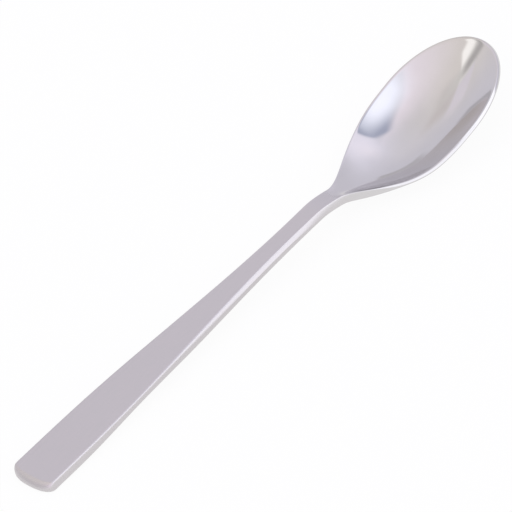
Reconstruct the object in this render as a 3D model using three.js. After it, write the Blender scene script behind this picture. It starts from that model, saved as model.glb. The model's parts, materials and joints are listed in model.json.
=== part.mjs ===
// A stainless-steel table spoon: a flat tapered handle, welded across its neck to a pressed oval bowl.
// Millimetres, +Z up. The spoon lies on a table at Z = 0, with its bowl towards +X and its sides along Y.
import * as THREE from "three";
import { mergeVertices } from "three/addons/utils/BufferGeometryUtils.js";

const { clamp, degToRad, lerp, smoothstep, smootherstep } = THREE.MathUtils;

// Handle, seen from above. Places along the spoon are measured from the end of the handle.
const handleLength = 129.5; // from the end to where the neck starts to flare into the bowl
const handleEndWidth = 17;
const handleEndRounding = 3.4; // length over which the end rounds off into the sides
const handleEndSquareness = 2.3; // 2 would be an ellipse, more is squarer
const gripLength = 29.5; // the parallel stretch at the end
const neckLength = 26; // the parallel stretch in front of the bowl
const neckWidth = 6.7;
const taperEasing = 2; // how softly the taper runs out into the grip and the neck

// Handle, seen from the side
const endThickness = 3;
const endLength = 14; // how far the end keeps that thickness
const waistThickness = 2.15;
const waistPlace = 42;
const neckThickness = 2.9;
const neckThicknessPlace = 72; // where the steel has the neck's thickness again

// Bowl, seen from above
const bowlLength = 70.5; // from the start of the flare to the tip
const bowlWidth = 39.6;
const shoulderLength = 44.7; // from the start of the flare to the widest place
const flareEarliness = 0.69; // under 1, the flare opens nearer to the neck
const rimLand = 1.2; // width of the flat edge on top of the rim

// Bowl, seen from the side. The top of the handle is the level that the rim is measured from.
const rimPitch = 10.2; // degrees that the rim climbs towards the tip
const tipLift = 2.3; // height of the tip over the level of the handle's top
const dropLead = 6.6; // how far before the flare the neck starts to sink towards the rim
const dropLength = 33.3;
const bowlDepth = 6.6;
const hollowLead = 1.6; // how far after the flare starts the hollow begins
const deepestPlace = 40; // from the start of the flare
const wallFullness = -0.15; // 0 is a plain parabola across the bowl, less makes gentler sides
const bowlFloor = 1.5;
const rimEdge = 1.2; // height of the steel's edge under the rim
const thinningLead = 5.5; // how far after the flare starts the edge begins to thin to that height
const thinningLength = 15;

// Both
const edgeRadius = 0.4;
const weldLead = 12; // how far before the flare the bowl is welded to the handle

// Fineness of the facets
const endSteps = 6;
const handleSteps = 20;
const shoulderSteps = 22;
const tipSteps = 14;
const handleRings = 3;
const bowlRings = 10;
const cornerSteps = 2;

const flareStart = handleLength;
const neckStart = flareStart - neckLength;
const weldPlace = flareStart - weldLead;
const widestPlace = flareStart + shoulderLength;
const tipPlace = flareStart + bowlLength;
const dropStart = flareStart - dropLead;
const dropEnd = dropStart + dropLength;
const thinningStart = flareStart + thinningLead;
const thinningEnd = thinningStart + thinningLength;

const satinSteel = new THREE.MeshStandardMaterial({ color: 0xc1bbc1, metalness: 1, roughness: 0.45 });
const polishedSteel = new THREE.MeshStandardMaterial({ color: 0xd8d6da, metalness: 1, roughness: 0.12 });

// The lower of two values, with the crossing rounded off over the given range.
function softLower(first, second, range) {
  const overlap = Math.max(range - Math.abs(first - second), 0) / range;
  return Math.min(first, second) - (overlap ** 3 * range) / 6;
}

function softHigher(first, second, range) {
  return -softLower(-first, -second, range);
}

// Half the width of the steel at a place along it, drawn in by an inset.
function halfWidth(x, inset) {
  if (x > widestPlace) {
    const share = (x - widestPlace) / (tipPlace - inset - widestPlace);
    return (bowlWidth / 2 - inset) * Math.sqrt(Math.max(1 - share ** 2, 0));
  }
  const taper = (x - gripLength) / (neckStart - gripLength);
  const tapered = softLower(handleEndWidth / 2, lerp(handleEndWidth / 2, neckWidth / 2, taper), taperEasing);
  const handle = softHigher(neckWidth / 2, tapered, taperEasing);
  const flare = clamp((x - flareStart) / shoulderLength, 0, 1) ** flareEarliness;
  return handle + ((bowlWidth - neckWidth) / 2) * smootherstep(flare, 0, 1) - inset;
}

// Height of the handle's top and of the bowl's rim.
function topLevel(x) {
  const rim = tipLift - Math.tan(degToRad(rimPitch)) * (tipPlace - x);
  return smoothstep(x, dropStart, dropEnd) * rim;
}

// Thickness of the steel at its edge.
function edgeHeight(x) {
  const towardsWaist = lerp(endThickness, waistThickness, smoothstep(x, endLength, waistPlace));
  const handle = lerp(towardsWaist, neckThickness, smoothstep(x, waistPlace, neckThicknessPlace));
  return lerp(handle, rimEdge, smoothstep(x, thinningStart, thinningEnd));
}

// How far a bowl-shaped surface lies under its edge. The surface ends at the tip, drawn in by an inset.
function sag(x, y, depth, inset) {
  const start = flareStart + hollowLead;
  const length = tipPlace - inset - start;
  const share = clamp((x - start) / length, 0, 1);
  const deepest = (flareStart + deepestPlace - start) / length;
  const heel = deepest / (1 - deepest);
  const along = (share ** heel * (1 - share)) / (deepest ** heel * (1 - deepest));
  const across = Math.min(Math.abs(y) / Math.max(halfWidth(x, inset), edgeRadius), 1) ** 2;
  return depth * along * (1 - across) * (1 + wallFullness * across);
}

function topSurface(x, y) {
  return topLevel(x) - sag(x, y, bowlDepth, rimLand);
}

function underside(x, y) {
  return topLevel(x) - edgeHeight(x) - sag(x, y, bowlDepth + bowlFloor - rimEdge, 0);
}

// A point on the outline of the handle's end, from the middle (turn 0) to the side (turn 1).
function endOutline(turn, inset) {
  const angle = (turn * Math.PI) / 2;
  const power = 2 / handleEndSquareness;
  const reach = (handleEndRounding - inset) * Math.cos(angle) ** power;
  return new THREE.Vector2(
    handleEndRounding - reach,
    halfWidth(handleEndRounding, inset) * Math.sin(angle) ** power,
  );
}

function sideOutline(x, inset) {
  return new THREE.Vector2(x, halfWidth(x, inset));
}

// A point on the outline of the bowl's front, from the widest place (turn 0) to the tip (turn 1).
function tipOutline(turn, inset) {
  const angle = (turn * Math.PI) / 2;
  const reach = (tipPlace - inset - widestPlace) * Math.sin(angle);
  return new THREE.Vector2(widestPlace + reach, (bowlWidth / 2 - inset) * Math.cos(angle));
}

// A rib runs from the middle of the top out to the edge, over the edge and back to the middle underneath.
function makeRib(outlineAt, middle, rings) {
  const outer = outlineAt(0);
  const inner = outlineAt(rimLand);
  const foot = new THREE.Vector2(clamp(inner.x, middle[0], middle[1]), 0);
  const outward = outer.clone().sub(inner).normalize();
  const points = [];
  for (let ring = 0; ring <= rings; ring += 1) {
    const at = foot.clone().lerp(inner, ring / rings);
    points.push(new THREE.Vector3(at.x, at.y, topSurface(at.x, at.y)));
  }
  for (const side of [1, -1]) {
    for (let step = 0; step <= cornerSteps; step += 1) {
      const share = side === 1 ? step / cornerSteps : 1 - step / cornerSteps;
      const angle = (share * Math.PI) / 2;
      const at = outer.clone().addScaledVector(outward, -edgeRadius * (1 - Math.sin(angle)));
      const inFromFace = edgeRadius * (1 - Math.cos(angle));
      const upper = topLevel(at.x) - inFromFace;
      const lower = topLevel(at.x) - edgeHeight(at.x) + inFromFace;
      points.push(new THREE.Vector3(at.x, at.y, side === 1 ? upper : lower));
    }
  }
  const under = outer.clone().addScaledVector(outward, -edgeRadius - rimLand);
  for (let ring = rings; ring >= 0; ring -= 1) {
    const at = foot.clone().lerp(under, ring / rings);
    points.push(new THREE.Vector3(at.x, at.y, underside(at.x, at.y)));
  }
  return points;
}

function mirrored(rib) {
  return rib.map((point) => new THREE.Vector3(point.x, -point.y, point.z));
}

// Joins ribs into one closed skin. The first and the last rib lie in the weld and are closed by a flat face.
function skin(ribs, facingBack) {
  const corners = [];
  const addTriangle = (a, b, c) => corners.push(...(facingBack ? [a, c, b] : [a, b, c]));
  for (let rib = 0; rib + 1 < ribs.length; rib += 1) {
    for (let point = 0; point + 1 < ribs[rib].length; point += 1) {
      addTriangle(ribs[rib][point], ribs[rib][point + 1], ribs[rib + 1][point + 1]);
      addTriangle(ribs[rib][point], ribs[rib + 1][point + 1], ribs[rib + 1][point]);
    }
  }
  const ring = [...ribs[0], ...ribs.at(-1).slice(1, -1).reverse()];
  const centre = new THREE.Vector3(weldPlace, 0, (topSurface(weldPlace, 0) + underside(weldPlace, 0)) / 2);
  ring.forEach((point, index) => addTriangle(centre, ring[(index + 1) % ring.length], point));

  const loose = new THREE.BufferGeometry().setFromPoints(corners);
  const merged = mergeVertices(loose);
  const index = merged.index.array;
  const kept = [];
  for (let first = 0; first < index.length; first += 3) {
    const [a, b, c] = index.slice(first, first + 3);
    if (a !== b && b !== c && c !== a) kept.push(a, b, c);
  }
  merged.setIndex(kept);
  merged.computeVertexNormals();
  return merged;
}

function steps(count, make) {
  return Array.from({ length: count + 1 }, (_, step) => make(step / count));
}

function makeHandle() {
  const middle = [handleEndWidth / 2, weldPlace];
  const side = steps(handleSteps, (share) => {
    const x = lerp(weldPlace, handleEndRounding, share);
    return makeRib((inset) => sideOutline(x, inset), middle, handleRings);
  });
  const end = steps(endSteps, (share) =>
    makeRib((inset) => endOutline(1 - share, inset), middle, handleRings),
  ).slice(1);
  const half = [...side, ...end];
  return skin([...half, ...half.slice(0, -1).reverse().map(mirrored)], false);
}

function makeBowl() {
  const middle = [weldPlace, flareStart + deepestPlace];
  const side = steps(shoulderSteps, (share) => {
    const x = lerp(weldPlace, widestPlace, share);
    return makeRib((inset) => sideOutline(x, inset), middle, bowlRings);
  });
  const tip = steps(tipSteps, (share) =>
    makeRib((inset) => tipOutline(share, inset), middle, bowlRings),
  ).slice(1);
  const half = [...side, ...tip];
  return skin([...half, ...half.slice(0, -1).reverse().map(mirrored)], true);
}

// The lowest height of a mesh when the spoon is tilted, bowl end up.
function lowestHeight(mesh, tilt) {
  const place = mesh.geometry.attributes.position;
  let lowest = Infinity;
  for (let vertex = 0; vertex < place.count; vertex += 1) {
    const height = place.getX(vertex) * Math.sin(tilt) + place.getZ(vertex) * Math.cos(tilt);
    lowest = Math.min(lowest, height);
  }
  return lowest;
}

// The tilt at which the bowl's belly and the end of the handle both touch the table.
function restingTilt(bowl, handle) {
  let low = 0;
  let high = Math.PI / 6;
  for (let halving = 0; halving < 40; halving += 1) {
    const tilt = (low + high) / 2;
    if (lowestHeight(bowl, tilt) < lowestHeight(handle, tilt)) low = tilt;
    else high = tilt;
  }
  return (low + high) / 2;
}

const bowl = new THREE.Mesh(makeBowl(), polishedSteel);
bowl.name = "bowl";
const handle = new THREE.Mesh(makeHandle(), satinSteel);
handle.name = "handle";

const spoon = new THREE.Group();
spoon.add(bowl, handle);
spoon.rotation.y = -restingTilt(bowl, handle);
spoon.updateMatrixWorld(true);
const reach = new THREE.Box3().setFromObject(spoon, true);
spoon.position.set(-(reach.min.x + reach.max.x) / 2, 0, -reach.min.z);

export default spoon;
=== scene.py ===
"""Stainless-steel table spoon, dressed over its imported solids.

The bowl and the handle follow the same rules as the solids, as fine meshes that Geometry Nodes bend out of
flat grids. Lengths are millimetres until the end of a tree, where the piece is laid on the table in metres.
"""

import json
import logging
import math
from abc import ABC, abstractmethod
from dataclasses import dataclass, fields
from enum import Enum
from typing import Any, ClassVar, Mapping, NamedTuple, Optional, Union

import bpy
from mathutils import Euler, Matrix, Vector


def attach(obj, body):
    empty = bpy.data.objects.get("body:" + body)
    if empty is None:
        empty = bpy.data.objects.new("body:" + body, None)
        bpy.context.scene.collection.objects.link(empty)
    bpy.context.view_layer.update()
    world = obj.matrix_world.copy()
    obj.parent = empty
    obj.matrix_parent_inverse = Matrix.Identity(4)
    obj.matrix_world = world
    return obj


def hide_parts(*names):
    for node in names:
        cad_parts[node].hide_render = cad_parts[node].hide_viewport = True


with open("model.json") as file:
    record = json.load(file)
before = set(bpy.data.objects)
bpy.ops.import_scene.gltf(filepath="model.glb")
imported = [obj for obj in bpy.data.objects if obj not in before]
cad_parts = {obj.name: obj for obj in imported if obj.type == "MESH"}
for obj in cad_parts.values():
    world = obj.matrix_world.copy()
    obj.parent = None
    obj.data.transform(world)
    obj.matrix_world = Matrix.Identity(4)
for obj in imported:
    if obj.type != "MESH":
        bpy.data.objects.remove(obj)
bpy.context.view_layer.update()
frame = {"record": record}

log = logging.getLogger("spoon")

MM = 0.001

# The record's mount on top of the grip, and how far along the handle it sits from its end.
GRIP_MOUNT = "grip_top"
GRIP_MOUNT_PLACE = 15.0

# Places of the colour sockets on a Mix node, whose sockets share their names.
MIX_FIRST_COLOUR = 6
MIX_SECOND_COLOUR = 7
MIX_RESULT_COLOUR = 2

Number = Union[float, "Field"]
Input = Union[float, tuple, Euler, "Field", bpy.types.NodeSocket, bpy.types.Material]


def linear(colour: str) -> tuple[float, float, float, float]:
    """Turns a colour as it is seen into the linear light that Blender reckons with.

    Args:
        colour: An sRGB colour as six hexadecimal digits.

    Returns:
        Red, green, blue and an alpha of 1.
    """
    shares = [int(colour[at : at + 2], 16) / 255 for at in (0, 2, 4)]
    # The sRGB curve has a straight foot, and a power above it.
    light = [share / 12.92 if share <= 0.04045 else ((share + 0.055) / 1.055) ** 2.4 for share in shares]
    return (*light, 1.0)


def turned(azimuth: float, pitch: float, roll: float) -> Matrix:
    """Turns about the line of sight, then about the side axis and then about the upright axis.

    Args:
        azimuth: Degrees about the upright axis.
        pitch: Degrees about the side axis.
        roll: Degrees about the line of sight.

    Returns:
        The three turns as one.
    """
    turns = ((azimuth, "Z"), (pitch, "X"), (roll, "Z"))
    last, second, first = (Matrix.Rotation(math.radians(angle), 4, axis) for angle, axis in turns)
    return last @ second @ first


def add_node(
    tree: bpy.types.NodeTree,
    kind: str,
    inputs: Optional[Mapping[Union[int, str], Input]] = None,
    **settings: object,
) -> bpy.types.Node:
    """Adds a node to a tree, with its settings, constants and links.

    Args:
        tree: The tree that gets the node.
        kind: Blender's name for the type of node.
        inputs: What goes into each input, by its name or its place: a constant, a socket or a field.
        **settings: Properties of the node.

    Returns:
        The new node.
    """
    node = tree.nodes.new(kind)
    for name, value in settings.items():
        setattr(node, name, value)
    for key, value in (inputs or {}).items():
        source = value.socket if isinstance(value, Field) else value
        if isinstance(source, bpy.types.NodeSocket):
            tree.links.new(source, node.inputs[key])
        else:
            node.inputs[key].default_value = source
    return node


class Field:
    """A number that varies over a surface: a node's output that can be reckoned with."""

    def __init__(self, socket: bpy.types.NodeSocket) -> None:
        """Wraps an output socket."""
        self.socket = socket

    @staticmethod
    def of(kind: str, *terms: Number, **settings: object) -> "Field":
        """Adds a node that takes terms in their order.

        Args:
            kind: Blender's name for the type of node.
            *terms: Constants and fields, with one field at least.
            **settings: Properties of the node.

        Returns:
            The node's first output.
        """
        tree = next(term.socket.id_data for term in terms if isinstance(term, Field))
        return Field(add_node(tree, kind, dict(enumerate(terms)), **settings).outputs[0])

    def __add__(self, other: Number) -> "Field":
        """This plus another."""
        return Field.of("ShaderNodeMath", self, other, operation="ADD")

    def __sub__(self, other: Number) -> "Field":
        """This less another."""
        return Field.of("ShaderNodeMath", self, other, operation="SUBTRACT")

    def __rsub__(self, other: Number) -> "Field":
        """Another less this."""
        return Field.of("ShaderNodeMath", other, self, operation="SUBTRACT")

    def __mul__(self, other: Number) -> "Field":
        """This times another."""
        return Field.of("ShaderNodeMath", self, other, operation="MULTIPLY")

    def __truediv__(self, other: Number) -> "Field":
        """This over another."""
        return Field.of("ShaderNodeMath", self, other, operation="DIVIDE")

    def __rtruediv__(self, other: Number) -> "Field":
        """Another over this."""
        return Field.of("ShaderNodeMath", other, self, operation="DIVIDE")

    def __pow__(self, other: Number) -> "Field":
        """This to the power of another."""
        return Field.of("ShaderNodeMath", self, other, operation="POWER")

    def __gt__(self, other: Number) -> "Field":
        """1 where this is greater than another, and 0 elsewhere."""
        return Field.of("ShaderNodeMath", self, other, operation="GREATER_THAN")

    def __abs__(self) -> "Field":
        """This without its sign."""
        return Field.of("ShaderNodeMath", self, operation="ABSOLUTE")

    __radd__ = __add__
    __rmul__ = __mul__


def mixed(first: Number, second: Number, share: Number) -> Number:
    """The value at a share of the way from a first value to a second."""
    return first + (second - first) * share


class Easing(Enum):
    """How a value runs from 0 to 1 over a stretch."""

    STRAIGHT = "LINEAR"
    SOFT = "SMOOTHSTEP"
    SOFTER = "SMOOTHERSTEP"

    def over(self, place: Number, start: Number, end: Number) -> Field:
        """Runs from 0 at the start of a stretch to 1 at its end, and stays there.

        Args:
            place: Where along the stretch.
            start: Where it starts.
            end: Where it ends.

        Returns:
            A share from 0 to 1.
        """
        return Field.of("ShaderNodeMapRange", place, start, end, 0.0, 1.0, interpolation_type=self.value)


@dataclass(frozen=True)
class Blank:
    """Sizes of the spoon's steel in millimetres, and the rules that its outline and its faces follow.

    Places are measured along the spoon from the end of the handle, and heights from the top of the handle.
    """

    # How many half widths from the middle, squared, the rule of a bowl-shaped face is followed to.
    farthest_across: ClassVar[float] = 3.0

    # Outline of the handle
    handle_length: Number = 129.5
    handle_end_width: Number = 17.2
    handle_end_rounding: Number = 3.4
    handle_end_squareness: Number = 2.3
    grip_length: Number = 29.5
    neck_length: Number = 26.0
    neck_width: Number = 7.3
    taper_easing: Number = 2.0

    # Thickness of the handle, which is thinnest at its waist
    end_thickness: Number = 3.0
    end_length: Number = 14.0
    waist_thickness: Number = 2.15
    waist_place: Number = 42.0
    neck_thickness: Number = 2.9
    neck_thickness_place: Number = 72.0

    # Outline of the bowl, with a flare from the neck that is even at an earliness of 1
    bowl_length: Number = 70.5
    bowl_width: Number = 39.6
    shoulder_length: Number = 44.7
    flare_delay: Number = 2.9
    flare_earliness: Number = 0.6

    # How the rim sinks past the handle and rises again to the tip
    rim_slope: Number = math.tan(math.radians(10.2))
    tip_lift: Number = 2.3
    drop_lead: Number = 6.7
    drop_length: Number = 36.2

    # Hollow of the bowl, with walls that are a parabola across at a fullness of 0
    rim_land: Number = 0.85
    rim_softness: Number = 0.5
    bowl_depth: Number = 6.6
    hollow_lead: Number = 1.6
    deepest_place: Number = 40.0
    wall_fullness: Number = -0.15

    # Thickness of the bowl
    bowl_floor: Number = 1.5
    rim_edge: Number = 1.2
    thinning_lead: Number = 5.5
    thinning_length: Number = 15.0

    # Weld across the neck
    weld_lead: Number = 12.0

    # Edge round the end of the handle, which is rolled over
    end_roll: Number = 2.2
    end_roll_length: Number = 4.0
    end_roll_depth: Number = 0.8
    end_roll_bluntness: Number = 1.6

    # Edges along the handle, the neck and the rim: how far in, how blunt and how far down they are rounded
    end_edge_radius: Number = 0.8
    neck_edge_radius: Number = 0.95
    rim_edge_radius: Number = 0.6
    under_edge_radius: Number = 0.35
    end_edge_bluntness: Number = 0.6
    neck_edge_bluntness: Number = 1.9
    rim_edge_bluntness: Number = 1.7
    side_edge_depth: Number = 0.5
    neck_edge_depth: Number = 0.38
    rim_edge_depth: Number = 0.9
    rim_edge_lead: Number = 22.0

    @property
    def neck_start(self) -> Number:
        """Where the parallel neck begins."""
        return self.handle_length - self.neck_length

    @property
    def weld_place(self) -> Number:
        """Where the bowl is welded to the handle."""
        return self.handle_length - self.weld_lead

    @property
    def widest_place(self) -> Number:
        """Where the bowl is widest."""
        return self.handle_length + self.shoulder_length

    @property
    def tip_place(self) -> Number:
        """Where the bowl ends."""
        return self.handle_length + self.bowl_length

    @property
    def drop_end(self) -> Number:
        """Where the rim has its full slope."""
        return self.handle_length - self.drop_lead + self.drop_length

    def half_width(self, x: Number, inset: Number) -> Field:
        """Half the width of the steel at a place along it.

        Args:
            x: The place.
            inset: How far the outline is drawn in.

        Returns:
            The half width.
        """
        widest = self.bowl_width * 0.5 - inset
        forward = (x - self.widest_place) / (self.tip_place - inset - self.widest_place)
        left = Field.of("ShaderNodeMath", 1.0 - forward * forward, 0.0, operation="MAXIMUM")
        front = widest * left**0.5

        half_end = self.handle_end_width * 0.5
        half_neck = self.neck_width * 0.5
        easing = self.taper_easing
        taper = (x - self.grip_length) / (self.neck_start - self.grip_length)
        narrowing = mixed(half_end, half_neck, taper)
        tapered = Field.of("ShaderNodeMath", half_end, narrowing, easing, operation="SMOOTH_MIN")
        handle = Field.of("ShaderNodeMath", half_neck, tapered, easing, operation="SMOOTH_MAX")
        flare_start = self.handle_length + self.flare_delay
        opened = Easing.STRAIGHT.over(x, flare_start, self.widest_place) ** self.flare_earliness
        side = handle + (widest + inset - half_neck) * Easing.SOFTER.over(opened, 0.0, 1.0) - inset
        return mixed(side, front, x > self.widest_place)

    def level(self, x: Number) -> Field:
        """Height of the handle's top and of the bowl's rim."""
        rim = self.tip_lift - self.rim_slope * (self.tip_place - x)
        return Easing.SOFT.over(x, self.handle_length - self.drop_lead, self.drop_end) * rim

    def edge_height(self, x: Number) -> Field:
        """Thickness of the steel at its edge.

        Args:
            x: The place along the spoon.

        Returns:
            The thickness.
        """
        before_waist = Easing.SOFT.over(x, self.end_length, self.waist_place)
        past_waist = Easing.SOFT.over(x, self.waist_place, self.neck_thickness_place)
        to_waist = mixed(self.end_thickness, self.waist_thickness, before_waist)
        handle = mixed(to_waist, self.neck_thickness, past_waist)
        thinning = self.handle_length + self.thinning_lead
        thinned = Easing.SOFT.over(x, thinning, thinning + self.thinning_length)
        return mixed(handle, self.rim_edge, thinned)

    def along_edge(self, x: Number, end: Number, neck: Number, rim: Number) -> Field:
        """Runs a value softly from the handle's end past the neck to the rim.

        Args:
            x: The place along the spoon.
            end: The value at the end of the handle.
            neck: The value along the neck.
            rim: The value round the bowl.

        Returns:
            The value at that place.
        """
        handle = mixed(end, neck, Easing.SOFT.over(x, self.waist_place, self.neck_start))
        rim_start = self.handle_length - self.rim_edge_lead
        rim_end = self.handle_length + self.thinning_lead
        return mixed(handle, rim, Easing.SOFT.over(x, rim_start, rim_end))

    def rolled(self, x: Number) -> Field:
        """1 at the end of the handle, which is rolled over, and 0 along its sides."""
        return 1.0 - Easing.SOFT.over(x, 0.0, self.end_roll_length)

    def edge_radius(self, x: Number) -> Field:
        """How far the rounding of the edge reaches in from the outline."""
        side = self.along_edge(x, self.end_edge_radius, self.neck_edge_radius, self.rim_edge_radius)
        return mixed(side, self.end_roll, self.rolled(x))

    def edge_bluntness(self, x: Number) -> Field:
        """How the edge is rounded: under 1 is squarish, 1 an ellipse and 2 a plain bevel above and below."""
        side = self.along_edge(x, self.end_edge_bluntness, self.neck_edge_bluntness, self.rim_edge_bluntness)
        return mixed(side, self.end_roll_bluntness, self.rolled(x))

    def edge_middle(self, x: Number) -> Field:
        """How far down the steel's thickness the edge stands out most, as a share."""
        side = self.along_edge(x, self.side_edge_depth, self.neck_edge_depth, self.rim_edge_depth)
        return mixed(side, self.end_roll_depth, self.rolled(x))

    def sag(self, x: Number, y: Number, depth: Number, inset: Number) -> Field:
        """How far a bowl-shaped face lies under its edge, with negative values outside of it.

        Args:
            x: The place along the spoon.
            y: The distance from its middle.
            depth: How deep the face is at its deepest place.
            inset: How far its outline is drawn in from the outline of the steel.

        Returns:
            The depth at that point.
        """
        start = self.handle_length + self.hollow_lead
        length = self.tip_place - inset - start
        share = Easing.STRAIGHT.over(x, start, start + length)
        deepest = (self.handle_length + self.deepest_place - start) / length
        heel = deepest / (1.0 - deepest)
        along = share**heel * (1.0 - share) / (deepest**heel * (1.0 - deepest))
        drawn_in = self.half_width(x, inset)
        half = Field.of("ShaderNodeMath", drawn_in, self.rim_edge_radius, operation="MAXIMUM")
        across = Field.of("ShaderNodeMath", (y / half) ** 2.0, self.farthest_across, operation="MINIMUM")
        return depth * along * (1.0 - across) * (1.0 + self.wall_fullness * across)

    def top(self, x: Number, y: Number) -> Field:
        """Height of the upper face, with the land of the rim running softly into the hollow.

        Args:
            x: The place along the spoon.
            y: The distance from its middle.

        Returns:
            The height.
        """
        hollow = self.sag(x, y, self.bowl_depth, self.rim_land)
        softness = self.rim_softness * Easing.SOFT.over(x, self.handle_length, self.drop_end)
        return self.level(x) - Field.of("ShaderNodeMath", hollow, 0.0, softness, operation="SMOOTH_MAX")

    def underside(self, x: Number, y: Number) -> Field:
        """Height of the lower face."""
        belly = self.sag(x, y, self.bowl_depth + self.bowl_floor - self.rim_edge, 0.0)
        return self.level(x) - self.edge_height(x) - belly


class Rest(NamedTuple):
    """How the spoon lies on the table, on the belly of its bowl and its handle's end."""

    tilt: float
    shift: float
    lift: float

    @classmethod
    def of_solids(cls, record: Mapping[str, Any]) -> "Rest":
        """Works out how the solids lie from the mount on top of their grip.

        Args:
            record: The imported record.

        Returns:
            The tilt in radians, and where the top of the handle's end lies, in millimetres.
        """
        mount = next(mount for mount in record["mounts"] if mount["name"] == GRIP_MOUNT)
        tilt = math.atan2(-mount["axis"][0], mount["axis"][2])
        along, _, up = mount["pos_m"]
        shift = along / MM - GRIP_MOUNT_PLACE * math.cos(tilt)
        lift = up / MM - GRIP_MOUNT_PLACE * math.sin(tilt)
        return cls(tilt, shift, lift)


REST = Rest.of_solids(frame["record"])


class Outline(NamedTuple):
    """A point on a piece's outline, and the foot of the rib that runs out to it."""

    x: Field
    y: Field
    foot: Field


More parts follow.
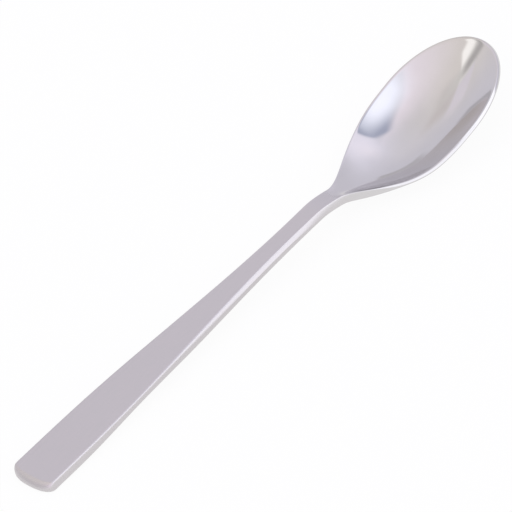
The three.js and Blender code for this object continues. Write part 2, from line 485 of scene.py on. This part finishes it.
class PressedPiece(ABC):
    """A piece of the spoon that a geometry tree bends out of a flat grid.

    The grid's columns are ribs. A rib starts at its foot on the middle line, runs over the top to the
    outline, round the edge and back underneath. One column more at each end of the grid closes the weld.
    """

    # Points that are closer than this become one.
    merge_distance: ClassVar[float] = 0.001
    # Edges that fold by more than this stay sharp.
    sharp_angle: ClassVar[float] = math.radians(50)

    name: ClassVar[str]
    node: ClassVar[str]
    slot: ClassVar[str]
    # 1 or -1, whichever makes the faces point outwards.
    facing: ClassVar[float]
    blank: Blank
    end_columns: int
    side_columns: int
    top_rows: int
    edge_rows: int
    under_rows: int
    # How much the points of a rib crowd towards the edge. At 1 they are spread evenly.
    crowding: float

    @property
    def half_columns(self) -> int:
        """How many columns run from the middle of the far end to the weld."""
        return self.end_columns + self.side_columns

    @property
    def rows(self) -> int:
        """How many rows run over the top, round the edge and back underneath."""
        return self.top_rows + self.edge_rows + self.under_rows

    @abstractmethod
    def outline(self, blank: Blank, end_share: Field, side_share: Field) -> Outline:
        """The outline of one half of the piece.

        Args:
            blank: The sizes, as fields of the tree.
            end_share: 0 at the far end, 1 where the sides start.
            side_share: 0 where the sides start, 1 at the weld.

        Returns:
            A point on the outline.
        """

    def shape(self, blank: Blank, place: bpy.types.Node) -> bpy.types.NodeSocket:
        """Adds the nodes that say where each point of the grid goes.

        Args:
            blank: The sizes, as fields of the tree.
            place: The node that gives a point's column and row.

        Returns:
            The socket with the point's new place, in millimetres.
        """
        signed_column = Field(place.outputs["X"])
        column = abs(signed_column)
        row = Field(place.outputs["Y"]) + self.rows / 2
        outer = self.outline(
            blank,
            Easing.STRAIGHT.over(column, 0.0, self.end_columns),
            Easing.STRAIGHT.over(column, self.end_columns, self.half_columns),
        )

        over = Easing.STRAIGHT.over(row, 0.0, self.top_rows)
        around = Easing.STRAIGHT.over(row, self.top_rows, self.top_rows + self.edge_rows) * math.pi
        under = Easing.STRAIGHT.over(self.rows - row, 0.0, self.under_rows)
        reach = Field.of("ShaderNodeMath", over, under, operation="MINIMUM")
        crowded = 1.0 - (1.0 - reach) ** self.crowding
        bluntness = blank.edge_bluntness(outer.x)
        outward = Field.of("ShaderNodeMath", around, operation="SINE") ** bluntness
        upright = Field.of("ShaderNodeMath", around, operation="COSINE")
        steepness = abs(upright) ** bluntness
        middle = blank.edge_middle(outer.x)
        lowered = mixed(middle - middle * steepness, mixed(middle, 1.0, steepness), around > math.pi / 2)

        run = outer.x - outer.foot
        length = (run * run + outer.y * outer.y) ** 0.5
        rounding = mixed(blank.edge_radius(outer.x), blank.under_edge_radius, lowered) / length
        share = crowded * (1.0 - rounding) + rounding * outward
        x = outer.foot + run * share
        y = outer.y * share
        z = mixed(blank.top(x, y), blank.underside(x, y), lowered)

        # The column past the sides is drawn together to one point in the middle of the weld.
        in_weld = column > self.half_columns + 0.5
        weld = blank.weld_place
        weld_middle = blank.level(weld) - blank.edge_height(weld) * 0.5
        side = Field.of("ShaderNodeMath", signed_column, operation="SIGN") * self.facing
        moved = {
            "X": mixed(x, weld, in_weld),
            "Y": y * side * (1.0 - in_weld),
            "Z": mixed(z, weld_middle, in_weld),
        }
        return add_node(place.id_data, "ShaderNodeCombineXYZ", moved).outputs[0]

    def make_tree(self, material: bpy.types.Material) -> bpy.types.NodeTree:
        """Builds the geometry tree.

        Args:
            material: What the piece is made of.

        Returns:
            A tree with a named input for each size of the blank.
        """
        tree = bpy.data.node_groups.new(f"{self.name}_shape", "GeometryNodeTree")
        for size in fields(Blank):
            tree.interface.new_socket(size.name, in_out="INPUT", socket_type="NodeSocketFloat")
        tree.interface.new_socket("Geometry", in_out="OUTPUT", socket_type="NodeSocketGeometry")
        sizes = add_node(tree, "NodeGroupInput")
        blank = Blank(**{size.name: Field(sizes.outputs[size.name]) for size in fields(Blank)})

        columns = 2 * (self.half_columns + 1)
        counts = {
            "Size X": columns,
            "Size Y": self.rows,
            "Vertices X": columns + 1,
            "Vertices Y": self.rows + 1,
        }
        grid = add_node(tree, "GeometryNodeMeshGrid", counts)
        position = add_node(tree, "GeometryNodeInputPosition")
        place = add_node(tree, "ShaderNodeSeparateXYZ", {0: position.outputs[0]})
        bent = add_node(
            tree,
            "GeometryNodeSetPosition",
            {"Geometry": grid.outputs["Mesh"], "Position": self.shape(blank, place)},
        )
        closed = add_node(
            tree,
            "GeometryNodeMergeByDistance",
            {"Geometry": bent.outputs[0], "Distance": self.merge_distance},
        )
        laid = add_node(
            tree,
            "GeometryNodeTransform",
            {
                "Geometry": closed.outputs[0],
                "Translation": (REST.shift * MM, 0.0, REST.lift * MM),
                "Rotation": (0.0, -REST.tilt, 0.0),
                "Scale": (MM, MM, MM),
            },
        )
        angle = Field(add_node(tree, "GeometryNodeInputMeshEdgeAngle").outputs[0])
        smooth = add_node(tree, "GeometryNodeSetShadeSmooth", {"Geometry": laid.outputs[0]})
        sharp = add_node(
            tree,
            "GeometryNodeSetShadeSmooth",
            {"Geometry": smooth.outputs[0], "Selection": angle > self.sharp_angle, "Shade Smooth": False},
            domain="EDGE",
        )
        real = add_node(tree, "GeometryNodeRealizeInstances", {"Geometry": sharp.outputs[0]})
        clad = add_node(
            tree,
            "GeometryNodeSetMaterial",
            {"Geometry": real.outputs[0], "Material": material},
        )
        add_node(tree, "NodeGroupOutput", {"Geometry": clad.outputs[0]})
        return tree

    def build(self, material: bpy.types.Material) -> bpy.types.Object:
        """Makes the piece as a plain mesh and puts it in the place of its solid.

        Args:
            material: What the piece is made of.

        Returns:
            The piece.
        """
        piece = bpy.data.objects.new(self.name, bpy.data.meshes.new(self.name))
        bpy.context.scene.collection.objects.link(piece)
        modifier = piece.modifiers.new("shape", "NODES")
        modifier.node_group = self.make_tree(material)
        for item in modifier.node_group.interface.items_tree:
            if item.in_out == "INPUT":
                modifier[item.identifier] = getattr(self.blank, item.name)
        shaped = piece.evaluated_get(bpy.context.evaluated_depsgraph_get())
        mesh = bpy.data.meshes.new_from_object(shaped)
        piece.modifiers.remove(modifier)
        piece.data = mesh
        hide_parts(self.node)
        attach(piece, "root")
        return piece


@dataclass
class Bowl(PressedPiece):
    """The oval bowl, with its rim, its heel and a stub of the neck."""

    # How softly the feet of the ribs stop at the deepest place, in millimetres.
    foot_easing: ClassVar[float] = 4.0

    name: ClassVar[str] = "polished_bowl"
    node: ClassVar[str] = "bowl"
    slot: ClassVar[str] = "polished_steel"
    facing: ClassVar[float] = -1.0
    blank: Blank
    end_columns: int = 90
    side_columns: int = 110
    top_rows: int = 48
    edge_rows: int = 14
    under_rows: int = 38
    crowding: float = 1.6

    def outline(self, blank: Blank, end_share: Field, side_share: Field) -> Outline:
        """Runs round the front as a quarter of an ellipse, and back along the flare to the weld.

        Args:
            blank: The sizes, as fields of the tree.
            end_share: 0 at the tip, 1 where the bowl is widest.
            side_share: 0 where the bowl is widest, 1 at the weld.

        Returns:
            A point on the outline.
        """
        angle = end_share * (math.pi / 2)
        forward = Field.of("ShaderNodeMath", angle, operation="COSINE")
        sideways = Field.of("ShaderNodeMath", angle, operation="SINE")
        widest = blank.widest_place
        x = widest + forward * (blank.tip_place - widest) + (blank.weld_place - widest) * side_share
        y = mixed(sideways * blank.bowl_width * 0.5, blank.half_width(x, 0.0), side_share > 0.0)
        deepest = blank.handle_length + blank.deepest_place
        foot = Field.of("ShaderNodeMath", x, deepest, self.foot_easing, operation="SMOOTH_MIN")
        return Outline(x, y, foot)


@dataclass
class Handle(PressedPiece):
    """The flat handle, from its squared end to the weld across the neck."""

    name: ClassVar[str] = "satin_handle"
    node: ClassVar[str] = "handle"
    slot: ClassVar[str] = "satin_steel"
    facing: ClassVar[float] = 1.0
    blank: Blank
    end_columns: int = 24
    side_columns: int = 116
    top_rows: int = 18
    edge_rows: int = 14
    under_rows: int = 18
    crowding: float = 1.4

    def outline(self, blank: Blank, end_share: Field, side_share: Field) -> Outline:
        """Runs round the end as a quarter of a squared ellipse, and along the taper to the weld.

        Args:
            blank: The sizes, as fields of the tree.
            end_share: 0 in the middle of the handle's end, 1 where its rounding stops.
            side_share: 0 where the rounding stops, 1 at the weld.

        Returns:
            A point on the outline.
        """
        angle = end_share * (math.pi / 2)
        power = 2.0 / blank.handle_end_squareness
        backward = Field.of("ShaderNodeMath", angle, operation="COSINE") ** power
        sideways = Field.of("ShaderNodeMath", angle, operation="SINE") ** power
        start = blank.handle_end_rounding
        x = start - start * backward + (blank.weld_place - start) * side_share
        y = mixed(sideways * blank.half_width(start, 0.0), blank.half_width(x, 0.0), side_share > 0.0)
        foot = Field.of("ShaderNodeMath", x, blank.handle_end_width * 0.5, operation="MAXIMUM")
        return Outline(x, y, foot)


@dataclass(frozen=True)
class Grain:
    """Fine lines that a brushing belt leaves along the handle, in millimetres."""

    length: float = 14.0
    # Real lines lie 0.05 mm apart. They are drawn coarser, because a render can't show them.
    spacing: float = 0.35
    depth: float = 0.01
    relief: float = 0.15
    detail: float = 3.0
    detail_strength: float = 0.6

    def lines(self, tree: bpy.types.NodeTree) -> Field:
        """Adds the nodes that draw the lines.

        Args:
            tree: The material's tree.

        Returns:
            A value that strays around 0.5 across the lines.
        """
        place = add_node(tree, "ShaderNodeTexCoord").outputs["Object"]
        along = 1 / (self.length * MM)
        across = 1 / (self.spacing * MM)
        stretch = {"Vector": place, "Rotation": (0.0, REST.tilt, 0.0), "Scale": (along, across, across)}
        along_handle = add_node(tree, "ShaderNodeMapping", stretch).outputs[0]
        noise = {
            "Vector": along_handle,
            "Scale": 1.0,
            "Detail": self.detail,
            "Roughness": self.detail_strength,
        }
        return Field(add_node(tree, "ShaderNodeTexNoise", noise).outputs[0])

    def engrave(self, tree: bpy.types.NodeTree, shader: bpy.types.Node, lines: Field) -> None:
        """Lets the lines stand out of a surface.

        Args:
            tree: The material's tree.
            shader: The shader of the steel.
            lines: How high the surface stands, from 0 to 1.
        """
        relief = {"Strength": self.relief, "Distance": self.depth * MM, "Height": lines}
        bump = add_node(tree, "ShaderNodeBump", relief)
        tree.links.new(bump.outputs[0], shader.inputs["Normal"])


@dataclass(frozen=True)
class Steel(ABC):
    """Stainless steel with one finish."""

    name: ClassVar[str]
    colour: str
    shade: str

    @abstractmethod
    def dress(self, tree: bpy.types.NodeTree, shader: bpy.types.Node) -> None:
        """Adds the finish.

        Args:
            tree: The material's tree.
            shader: The shader of the bare steel.
        """

    def make(self) -> bpy.types.Material:
        """Builds the material.

        Returns:
            The steel with its finish.
        """
        material = bpy.data.materials.new(self.name)
        material.use_nodes = True
        shader = material.node_tree.nodes["Principled BSDF"]
        shader.inputs["Metallic"].default_value = 1.0
        self.dress(material.node_tree, shader)
        return material

    def tint(self, tree: bpy.types.NodeTree, share: Field) -> bpy.types.NodeSocket:
        """Lets the steel's colour stray between its shade and its full colour.

        Args:
            tree: The material's tree.
            share: 0 for the shade, 1 for the full colour.

        Returns:
            The socket with the colour.
        """
        ramp = add_node(tree, "ShaderNodeValToRGB", {0: share})
        ramp.color_ramp.elements[0].color = linear(self.shade)
        ramp.color_ramp.elements[1].color = linear(self.colour)
        return ramp.outputs["Color"]


@dataclass(frozen=True)
class SatinSteel(Steel):
    """Stainless steel that was brushed lengthwise on a belt."""

    # An even grey sheen that blurs what it mirrors, with faint lines along the handle.
    name: ClassVar[str] = "belt_brushed_stainless_steel"
    colour: str = "d3cdcf"
    shade: str = "cac8c9"
    grain: Grain = Grain()
    smoothest: float = 0.34
    roughest: float = 0.44

    def roughness(self, lines: Field) -> Field:
        """How rough the steel is on its lines and between them."""
        return mixed(self.smoothest, self.roughest, lines)

    def dress(self, tree: bpy.types.NodeTree, shader: bpy.types.Node) -> None:
        """Lets roughness, colour and surface follow the grain.

        Args:
            tree: The material's tree.
            shader: The shader of the bare steel.
        """
        lines = self.grain.lines(tree)
        tree.links.new(self.roughness(lines).socket, shader.inputs["Roughness"])
        tree.links.new(self.tint(tree, lines), shader.inputs["Base Color"])
        self.grain.engrave(tree, shader, lines)


@dataclass(frozen=True)
class PolishedSteel(Steel):
    """Stainless steel that was buffed to a mirror, except along the neck."""

    # Sharp reflections under a breath of haze, which run out into the handle's satin at the neck.
    name: ClassVar[str] = "mirror_buffed_stainless_steel"
    colour: str = "d6d4d5"
    shade: str = "d0cecf"
    satin: SatinSteel = SatinSteel()
    # Where the buffing fades in, measured along the spoon from its middle.
    satin_end: float = 22.0
    polish_start: float = 44.0
    haze_size: float = 5.0
    haze_detail: float = 4.0
    clearest: float = 0.05
    haziest: float = 0.1

    def dress(self, tree: bpy.types.NodeTree, shader: bpy.types.Node) -> None:
        """Lets the haze stray over the bowl, and the satin's grain take over along the neck.

        Args:
            tree: The material's tree.
            shader: The shader of the bare steel.
        """
        place = add_node(tree, "ShaderNodeTexCoord").outputs["Object"]
        along = Field(add_node(tree, "ShaderNodeSeparateXYZ", {0: place}).outputs["X"])
        polish = Easing.SOFT.over(along, self.satin_end * MM, self.polish_start * MM)
        cloud = {"Vector": place, "Scale": 1 / (self.haze_size * MM), "Detail": self.haze_detail}
        haze = Field(add_node(tree, "ShaderNodeTexNoise", cloud).outputs[0])
        lines = self.satin.grain.lines(tree)
        buffed = mixed(self.clearest, self.haziest, haze)
        roughness = mixed(self.satin.roughness(lines), buffed, polish)
        tree.links.new(roughness.socket, shader.inputs["Roughness"])
        tints = {
            "Factor": polish,
            MIX_FIRST_COLOUR: self.satin.tint(tree, lines),
            MIX_SECOND_COLOUR: self.tint(tree, haze),
        }
        both = add_node(tree, "ShaderNodeMix", tints, data_type="RGBA")
        tree.links.new(both.outputs[MIX_RESULT_COLOUR], shader.inputs["Base Color"])
        self.satin.grain.engrave(tree, shader, lines * (1.0 - polish))


class Panel(NamedTuple):
    """A soft light or a grey card round the spoon, placed by the angles at which the spoon sees it.

    Angles are degrees, and half sizes are angles too. The azimuth runs from the far side (0) past the tip of
    the bowl (90). Softness is the share of a half size over which an edge fades, inwards and outwards.
    """

    name: str
    azimuth: float
    elevation: float
    turn: float
    half_width: float
    half_height: float
    side_softness: float
    end_softness: float
    colour: str
    brightness: float

    def hang(
        self, tree: bpy.types.NodeTree, direction: bpy.types.NodeSocket, behind: bpy.types.NodeSocket
    ) -> bpy.types.NodeSocket:
        """Hangs the panel in front of what is round the spoon so far.

        Args:
            tree: The world's tree.
            direction: Where a ray goes.
            behind: The shader of what is behind the panel.

        Returns:
            The shader of both.
        """
        aim = turned(-self.azimuth, self.elevation - 90, self.turn)
        width = math.sin(math.radians(self.half_width))
        height = math.sin(math.radians(self.half_height))
        facing = {"Vector": direction, "Rotation": aim.to_euler(), "Scale": (width, height, 1.0)}
        seen = add_node(tree, "ShaderNodeMapping", facing, vector_type="TEXTURE")
        offset = add_node(tree, "ShaderNodeSeparateXYZ", {0: seen.outputs[0]})
        sideways, upward, forward = (Field(part) for part in offset.outputs)
        sides = Easing.SOFT.over(abs(sideways), 1.0 + self.side_softness, 1.0 - self.side_softness)
        ends = Easing.SOFT.over(abs(upward), 1.0 + self.end_softness, 1.0 - self.end_softness)
        light = {"Color": linear(self.colour), "Strength": self.brightness}
        panel = add_node(tree, "ShaderNodeBackground", light, label=self.name).outputs[0]
        layers = {0: sides * ends * (forward > 0.0), 1: behind, 2: panel}
        return add_node(tree, "ShaderNodeMixShader", layers).outputs[0]


# What the polished bowl mirrors. A later panel hangs in front of an earlier one.
PANELS = (
    Panel(
        "light on the near side, behind the window",
        azimuth=164.0,
        elevation=43.8,
        turn=37.2,
        half_width=51.7,
        half_height=13.2,
        side_softness=0.13,
        end_softness=0.75,
        colour="fff4f7",
        brightness=1.48,
    ),
    Panel(
        "ceiling on the handle's side",
        azimuth=-107.1,
        elevation=27.3,
        turn=-62.6,
        half_width=56.8,
        half_height=28.5,
        side_softness=0.13,
        end_softness=0.08,
        colour="f9f0fc",
        brightness=1.28,
    ),
    Panel(
        "warm patch of ceiling",
        azimuth=-42.7,
        elevation=47.2,
        turn=-95.0,
        half_width=31.9,
        half_height=27.9,
        side_softness=0.95,
        end_softness=0.95,
        colour="fff9f4",
        brightness=0.95,
    ),
    Panel(
        "soft fill that glows in the heel of the bowl",
        azimuth=123.3,
        elevation=49.4,
        turn=27.6,
        half_width=33.3,
        half_height=24.3,
        side_softness=0.95,
        end_softness=0.44,
        colour="f3f1ff",
        brightness=1.25,
    ),
    Panel(
        "blue-grey frame of the window",
        azimuth=164.6,
        elevation=59.6,
        turn=37.5,
        half_width=24.3,
        half_height=17.8,
        side_softness=0.06,
        end_softness=0.18,
        colour="dfe6ff",
        brightness=0.72,
    ),
    Panel(
        "window",
        azimuth=177.3,
        elevation=65.9,
        turn=75.1,
        half_width=16.1,
        half_height=10.8,
        side_softness=0.37,
        end_softness=0.88,
        colour="f0f3ff",
        brightness=1.64,
    ),
    Panel(
        "dim patch of ceiling beside the lamp",
        azimuth=-15.0,
        elevation=51.2,
        turn=17.0,
        half_width=10.5,
        half_height=7.5,
        side_softness=0.60,
        end_softness=0.70,
        colour="fff8f7",
        brightness=0.80,
    ),
    Panel(
        "lighter strip under the dim patch",
        azimuth=-18.9,
        elevation=39.4,
        turn=17.0,
        half_width=13.0,
        half_height=5.0,
        side_softness=0.30,
        end_softness=0.20,
        colour="fdf7ff",
        brightness=0.96,
    ),
    Panel(
        "lamp",
        azimuth=-37.0,
        elevation=43.8,
        turn=14.4,
        half_width=9.1,
        half_height=4.6,
        side_softness=0.15,
        end_softness=0.16,
        colour="fffdf9",
        brightness=1.40,
    ),
    Panel(
        "long dim gap, nearly upright",
        azimuth=-49.2,
        elevation=5.6,
        turn=20.3,
        half_width=4.6,
        half_height=50.5,
        side_softness=0.75,
        end_softness=0.28,
        colour="fffdf8",
        brightness=0.90,
    ),
    Panel(
        "low grey card off the handle's end",
        azimuth=-60.0,
        elevation=6.0,
        turn=0.0,
        half_width=22.0,
        half_height=18.0,
        side_softness=0.30,
        end_softness=0.30,
        colour="fcfaff",
        brightness=0.70,
    ),
    Panel(
        "dark gap beside the lamp",
        azimuth=-32.5,
        elevation=37.5,
        turn=14.0,
        half_width=3.5,
        half_height=8.5,
        side_softness=0.80,
        end_softness=0.50,
        colour="fffbf9",
        brightness=0.60,
    ),
    Panel(
        "grey card that widens the dark band of the near wall",
        azimuth=29.5,
        elevation=17.8,
        turn=4.0,
        half_width=12.8,
        half_height=6.4,
        side_softness=0.15,
        end_softness=0.15,
        colour="fbf8ff",
        brightness=0.65,
    ),
    Panel(
        "small grey card where the dark band ends at the tip",
        azimuth=6.2,
        elevation=7.0,
        turn=0.0,
        half_width=2.3,
        half_height=6.0,
        side_softness=0.20,
        end_softness=0.30,
        colour="fbf8ff",
        brightness=0.60,
    ),
    Panel(
        "near window that lights the rim and the handle's edge",
        azimuth=150.0,
        elevation=28.0,
        turn=0.0,
        half_width=22.0,
        half_height=28.0,
        side_softness=0.15,
        end_softness=0.12,
        colour="f8f9ff",
        brightness=1.63,
    ),
    Panel(
        "low window on the handle's side",
        azimuth=194.0,
        elevation=15.0,
        turn=0.0,
        half_width=25.0,
        half_height=15.0,
        side_softness=0.15,
        end_softness=0.20,
        colour="f8f9ff",
        brightness=1.49,
    ),
)


@dataclass(frozen=True)
class Studio:
    """A white table in a pale tent, with soft lights and grey cards that the polished bowl mirrors."""

    floor_size: float = 6000.0
    floor_colour: str = "f4f4f4"
    floor_roughness: float = 0.9
    # How much of the floor's look is plain white. The rest takes light, and so keeps the spoon's shadow.
    whiteness: float = 0.92
    tent_colour: str = "f6f4ff"
    tent_brightness: float = 0.86
    panels: tuple[Panel, ...] = PANELS

    def build(self) -> None:
        """Makes the table and the tent."""
        self.lay_floor()
        self.raise_tent()

    def lay_floor(self) -> None:
        """Makes the white table that the spoon lies on."""
        half = self.floor_size * MM / 2
        mesh = bpy.data.meshes.new("floor")
        corners = [(-half, -half, 0), (half, -half, 0), (half, half, 0), (-half, half, 0)]
        mesh.from_pydata(corners, [], [(0, 1, 2, 3)])
        floor = bpy.data.objects.new("floor", mesh)
        bpy.context.scene.collection.objects.link(floor)
        # Matt painted board: white to the edge of the picture, with no sheen and only a soft shadow on it.
        material = bpy.data.materials.new("matt_painted_board")
        material.use_nodes = True
        tree = material.node_tree
        shader = tree.nodes["Principled BSDF"]
        shader.inputs["Base Color"].default_value = linear(self.floor_colour)
        shader.inputs["Roughness"].default_value = self.floor_roughness
        path = add_node(tree, "ShaderNodeLightPath").outputs
        ways = ("Is Camera Ray", "Is Glossy Ray", "Is Transmission Ray")
        seen, mirrored, refracted = (Field(path[way]) for way in ways)
        looks = seen + mirrored + refracted
        white = add_node(tree, "ShaderNodeEmission", {"Strength": 1.0}).outputs[0]
        layers = {0: looks * self.whiteness, 1: shader.outputs[0], 2: white}
        both = add_node(tree, "ShaderNodeMixShader", layers).outputs[0]
        tree.links.new(both, tree.nodes["Material Output"].inputs["Surface"])
        mesh.materials.append(material)

    def raise_tent(self) -> None:
        """Makes the surround, with its panels one in front of the other."""
        world = bpy.data.worlds.new("tent")
        world.use_nodes = True
        tree = world.node_tree
        tent = tree.nodes["Background"]
        tent.inputs["Color"].default_value = linear(self.tent_colour)
        tent.inputs["Strength"].default_value = self.tent_brightness
        direction = add_node(tree, "ShaderNodeTexCoord").outputs["Generated"]
        surround = tent.outputs[0]
        for panel in self.panels:
            surround = panel.hang(tree, direction, surround)
        tree.links.new(surround, tree.nodes["World Output"].inputs["Surface"])
        bpy.context.scene.world = world


@dataclass(frozen=True)
class PhotoCamera:
    """A long lens, turned as the spoon was photographed, in degrees and millimetres."""

    azimuth: float = -29.998
    elevation: float = 39.385
    roll: float = -20.674
    target: tuple[float, float, float] = (-0.024, 0.0, 10.833)
    distance: float = 4000.0
    # How much the picture takes in at the target, from side to side.
    field_width: float = 151.49
    sensor_width: float = 36.0
    farthest_sight: float = 100000.0

    def place(self) -> None:
        """Adds the camera and makes it the scene's own."""
        data = bpy.data.cameras.new("photo_camera")
        data.sensor_width = self.sensor_width
        data.lens = self.sensor_width * self.distance / self.field_width
        data.clip_end = self.farthest_sight * MM
        camera = bpy.data.objects.new("photo_camera", data)
        bpy.context.scene.collection.objects.link(camera)
        middle = Matrix.Translation(Vector(self.target) * MM)
        backward = Matrix.Translation((0, 0, self.distance * MM))
        camera.matrix_world = middle @ turned(self.azimuth, 90 - self.elevation, self.roll) @ backward
        bpy.context.scene.camera = camera


def main() -> None:
    """Builds the spoon, its studio and the camera."""
    logging.basicConfig(level=logging.INFO, format="%(name)s: %(message)s")
    blank = Blank()
    pieces = (
        Bowl(blank).build(PolishedSteel().make()),
        Handle(blank).build(SatinSteel().make()),
    )
    for piece in pieces:
        log.info("%s: %d faces", piece.name, len(piece.data.polygons))
    Studio().build()
    PhotoCamera().place()
    bpy.context.scene.view_settings.view_transform = "Standard"


if __name__ == "__main__":
    main()
